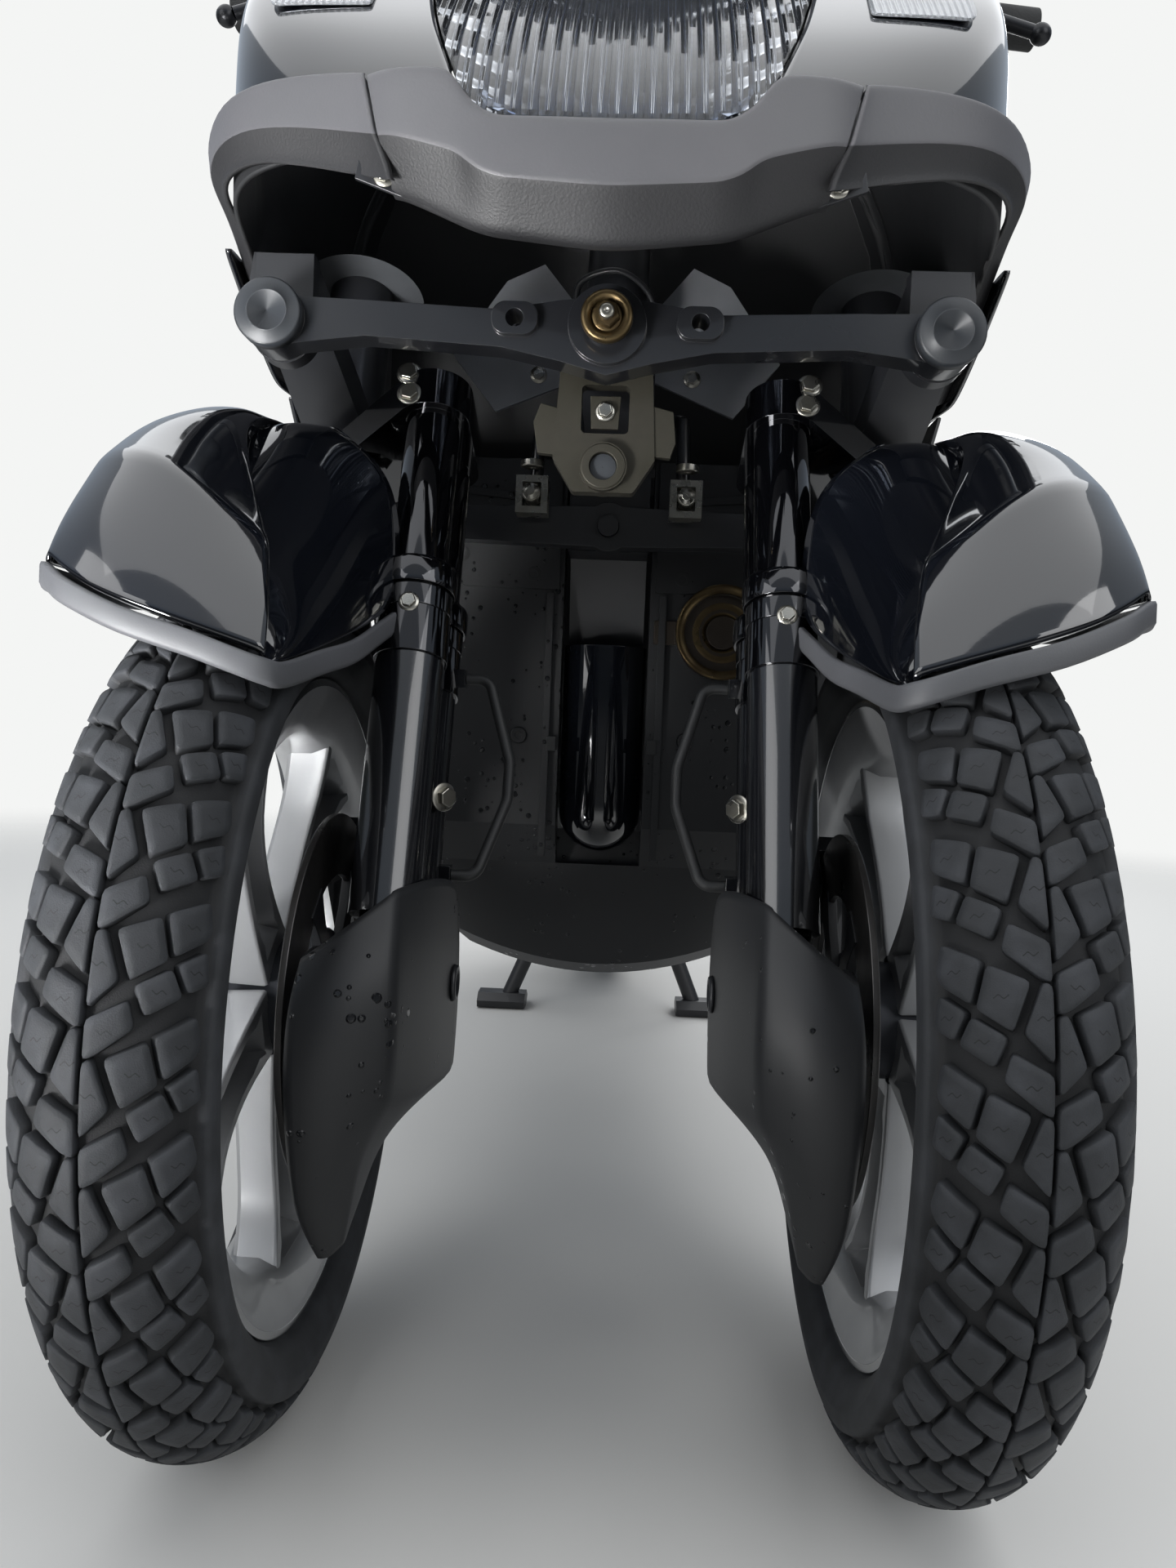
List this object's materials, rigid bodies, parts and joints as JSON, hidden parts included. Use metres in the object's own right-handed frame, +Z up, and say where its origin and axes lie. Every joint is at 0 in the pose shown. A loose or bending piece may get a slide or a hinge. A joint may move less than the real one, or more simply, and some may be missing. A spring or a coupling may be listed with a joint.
{
  "type": "reverse trike scooter",
  "caption": "Leaning scooter with two steered front wheels on a tilting linkage and one driven rear wheel, parked on its centre stand.",
  "frame": {"origin": "middle of the footprint's bounding box on the ground", "axes": "+X to the vehicle's left, -Y to its front, +Z up"},
  "size_m": [0.735, 1.905, 1.2149],
  "materials": {
    "gloss_black": "gloss",
    "matte_grey": "fine textured",
    "matte_black": "matte",
    "tyre": "moulded",
    "cast_silver": "painted silver",
    "disc_steel": "turned",
    "black_steel": "gloss black",
    "cast_plate": "olive plated",
    "horn_metal": "satin",
    "clear_lens": "clear",
    "reflector": "bright",
    "smoke_screen": "smoked",
    "red_lens": "red",
    "seat_vinyl": "grained vinyl",
    "grip_rubber": "ribbed",
    "engine_alu": "cast",
    "stand_steel": "satin black"
  },
  "bodies": {
    "chassis": {"frame": "black_steel", "tilt_linkage": "cast_plate", "horn": "horn_metal", "undercover": "matte_black", "down_tube_cover": "gloss_black", "nose_cowl": "gloss_black", "headlight_lens": "clear_lens", "headlight_reflector": "reflector", "front_signals": "clear_lens", "bumper": "matte_grey", "windscreen": "smoke_screen", "side_panels": "gloss_black", "leg_shield": "matte_black", "floorboard": "matte_black", "tail_panels": "gloss_black", "tail_lamp": "red_lens", "grab_rail": "black_steel", "rear_fender": "matte_black", "engine": "engine_alu", "drive_case": "engine_alu", "air_cleaner": "matte_black", "exhaust": "black_steel", "rear_shocks": "black_steel"},
    "upper_arm": {"upper_arm": "black_steel"},
    "lower_arm": {"lower_arm": "black_steel"},
    "seat": {"seat": "seat_vinyl"},
    "rear_wheel": {"rear_rim": "cast_silver", "rear_tyre": "tyre", "rear_disc": "disc_steel"},
    "centre_stand": {"centre_stand": "stand_steel"},
    "side_stand": {"side_stand": "stand_steel"},
    "handlebar": {"handlebar": "black_steel", "hand_controls": "grip_rubber", "mirrors": "gloss_black", "handlebar_cover": "matte_black"},
    "side_member_left": {"side_member_left": "black_steel"},
    "fork_left": {"fork_left": "black_steel", "lead_left": "grip_rubber", "fender_left": "gloss_black", "fender_trim_left": "matte_grey", "leg_cover_left": "matte_black"},
    "front_wheel_left": {"front_rim_left": "cast_silver", "front_tyre_left": "tyre", "front_disc_left": "disc_steel"},
    "side_member_right": {"side_member_right": "black_steel"},
    "fork_right": {"fork_right": "black_steel", "lead_right": "grip_rubber", "fender_right": "gloss_black", "fender_trim_right": "matte_grey", "leg_cover_right": "matte_black"},
    "front_wheel_right": {"front_rim_right": "cast_silver", "front_tyre_right": "tyre", "front_disc_right": "disc_steel"}
  },
  "joints": [
    {"name": "lean", "type": "hinge", "parent": "chassis", "child": "upper_arm", "pos_m": [0, -0.7245, 0.643], "axis": [0, -1, 0], "range_deg": [-38, 38]},
    {"name": "lean_lower", "type": "hinge", "parent": "chassis", "child": "lower_arm", "pos_m": [0, -0.4725, 0.575], "axis": [0, -1, 0], "range_deg": [-38, 38]},
    {"name": "lean_left", "type": "hinge", "parent": "upper_arm", "child": "side_member_left", "pos_m": [0.19, -0.7245, 0.643], "axis": [0, -1, 0], "range_deg": [-38, 38]},
    {"name": "lean_right", "type": "hinge", "parent": "upper_arm", "child": "side_member_right", "pos_m": [-0.19, -0.7245, 0.643], "axis": [0, -1, 0], "range_deg": [-38, 38]},
    {"name": "steering", "type": "hinge", "parent": "chassis", "child": "handlebar", "pos_m": [0, -0.4875, 0.7], "axis": [0, 0.342, 0.9397], "range_deg": [-40, 40]},
    {"name": "steer_left", "type": "hinge", "parent": "side_member_left", "child": "fork_left", "pos_m": [0.1925, -0.53647, 0.643], "axis": [0, 0.342, 0.9397], "range_deg": [-40, 40]},
    {"name": "steer_right", "type": "hinge", "parent": "side_member_right", "child": "fork_right", "pos_m": [-0.1925, -0.53647, 0.643], "axis": [0, 0.342, 0.9397], "range_deg": [-40, 40]},
    {"name": "roll_front_left", "type": "hinge", "parent": "fork_left", "child": "front_wheel_left", "pos_m": [0.1925, -0.7025, 0.25], "axis": [1, 0, 0], "continuous": true},
    {"name": "roll_front_right", "type": "hinge", "parent": "fork_right", "child": "front_wheel_right", "pos_m": [-0.1925, -0.7025, 0.25], "axis": [1, 0, 0], "continuous": true},
    {"name": "roll_rear", "type": "hinge", "parent": "chassis", "child": "rear_wheel", "pos_m": [0, 0.6075, 0.2645], "axis": [1, 0, 0], "continuous": true},
    {"name": "centre_stand", "type": "hinge", "parent": "chassis", "child": "centre_stand", "pos_m": [0, 0.3435, 0.19], "axis": [1, 0, 0], "range_deg": [0, 75]},
    {"name": "side_stand", "type": "hinge", "parent": "chassis", "child": "side_stand", "pos_m": [0.132, 0.0875, 0.215], "axis": [0.9397, 0, 0.342], "range_deg": [-95, 0]},
    {"name": "seat_hinge", "type": "hinge", "parent": "chassis", "child": "seat", "pos_m": [0, -0.0025, 0.73], "axis": [1, 0, 0], "range_deg": [0, 65]}
  ],
  "couplings": [
    {"joint": "lean_lower", "follows": "lean", "ratio": 1},
    {"joint": "lean_left", "follows": "lean", "ratio": -1},
    {"joint": "lean_right", "follows": "lean", "ratio": -1},
    {"joint": "steer_left", "follows": "steering", "ratio": 1},
    {"joint": "steer_right", "follows": "steering", "ratio": 1}
  ]
}
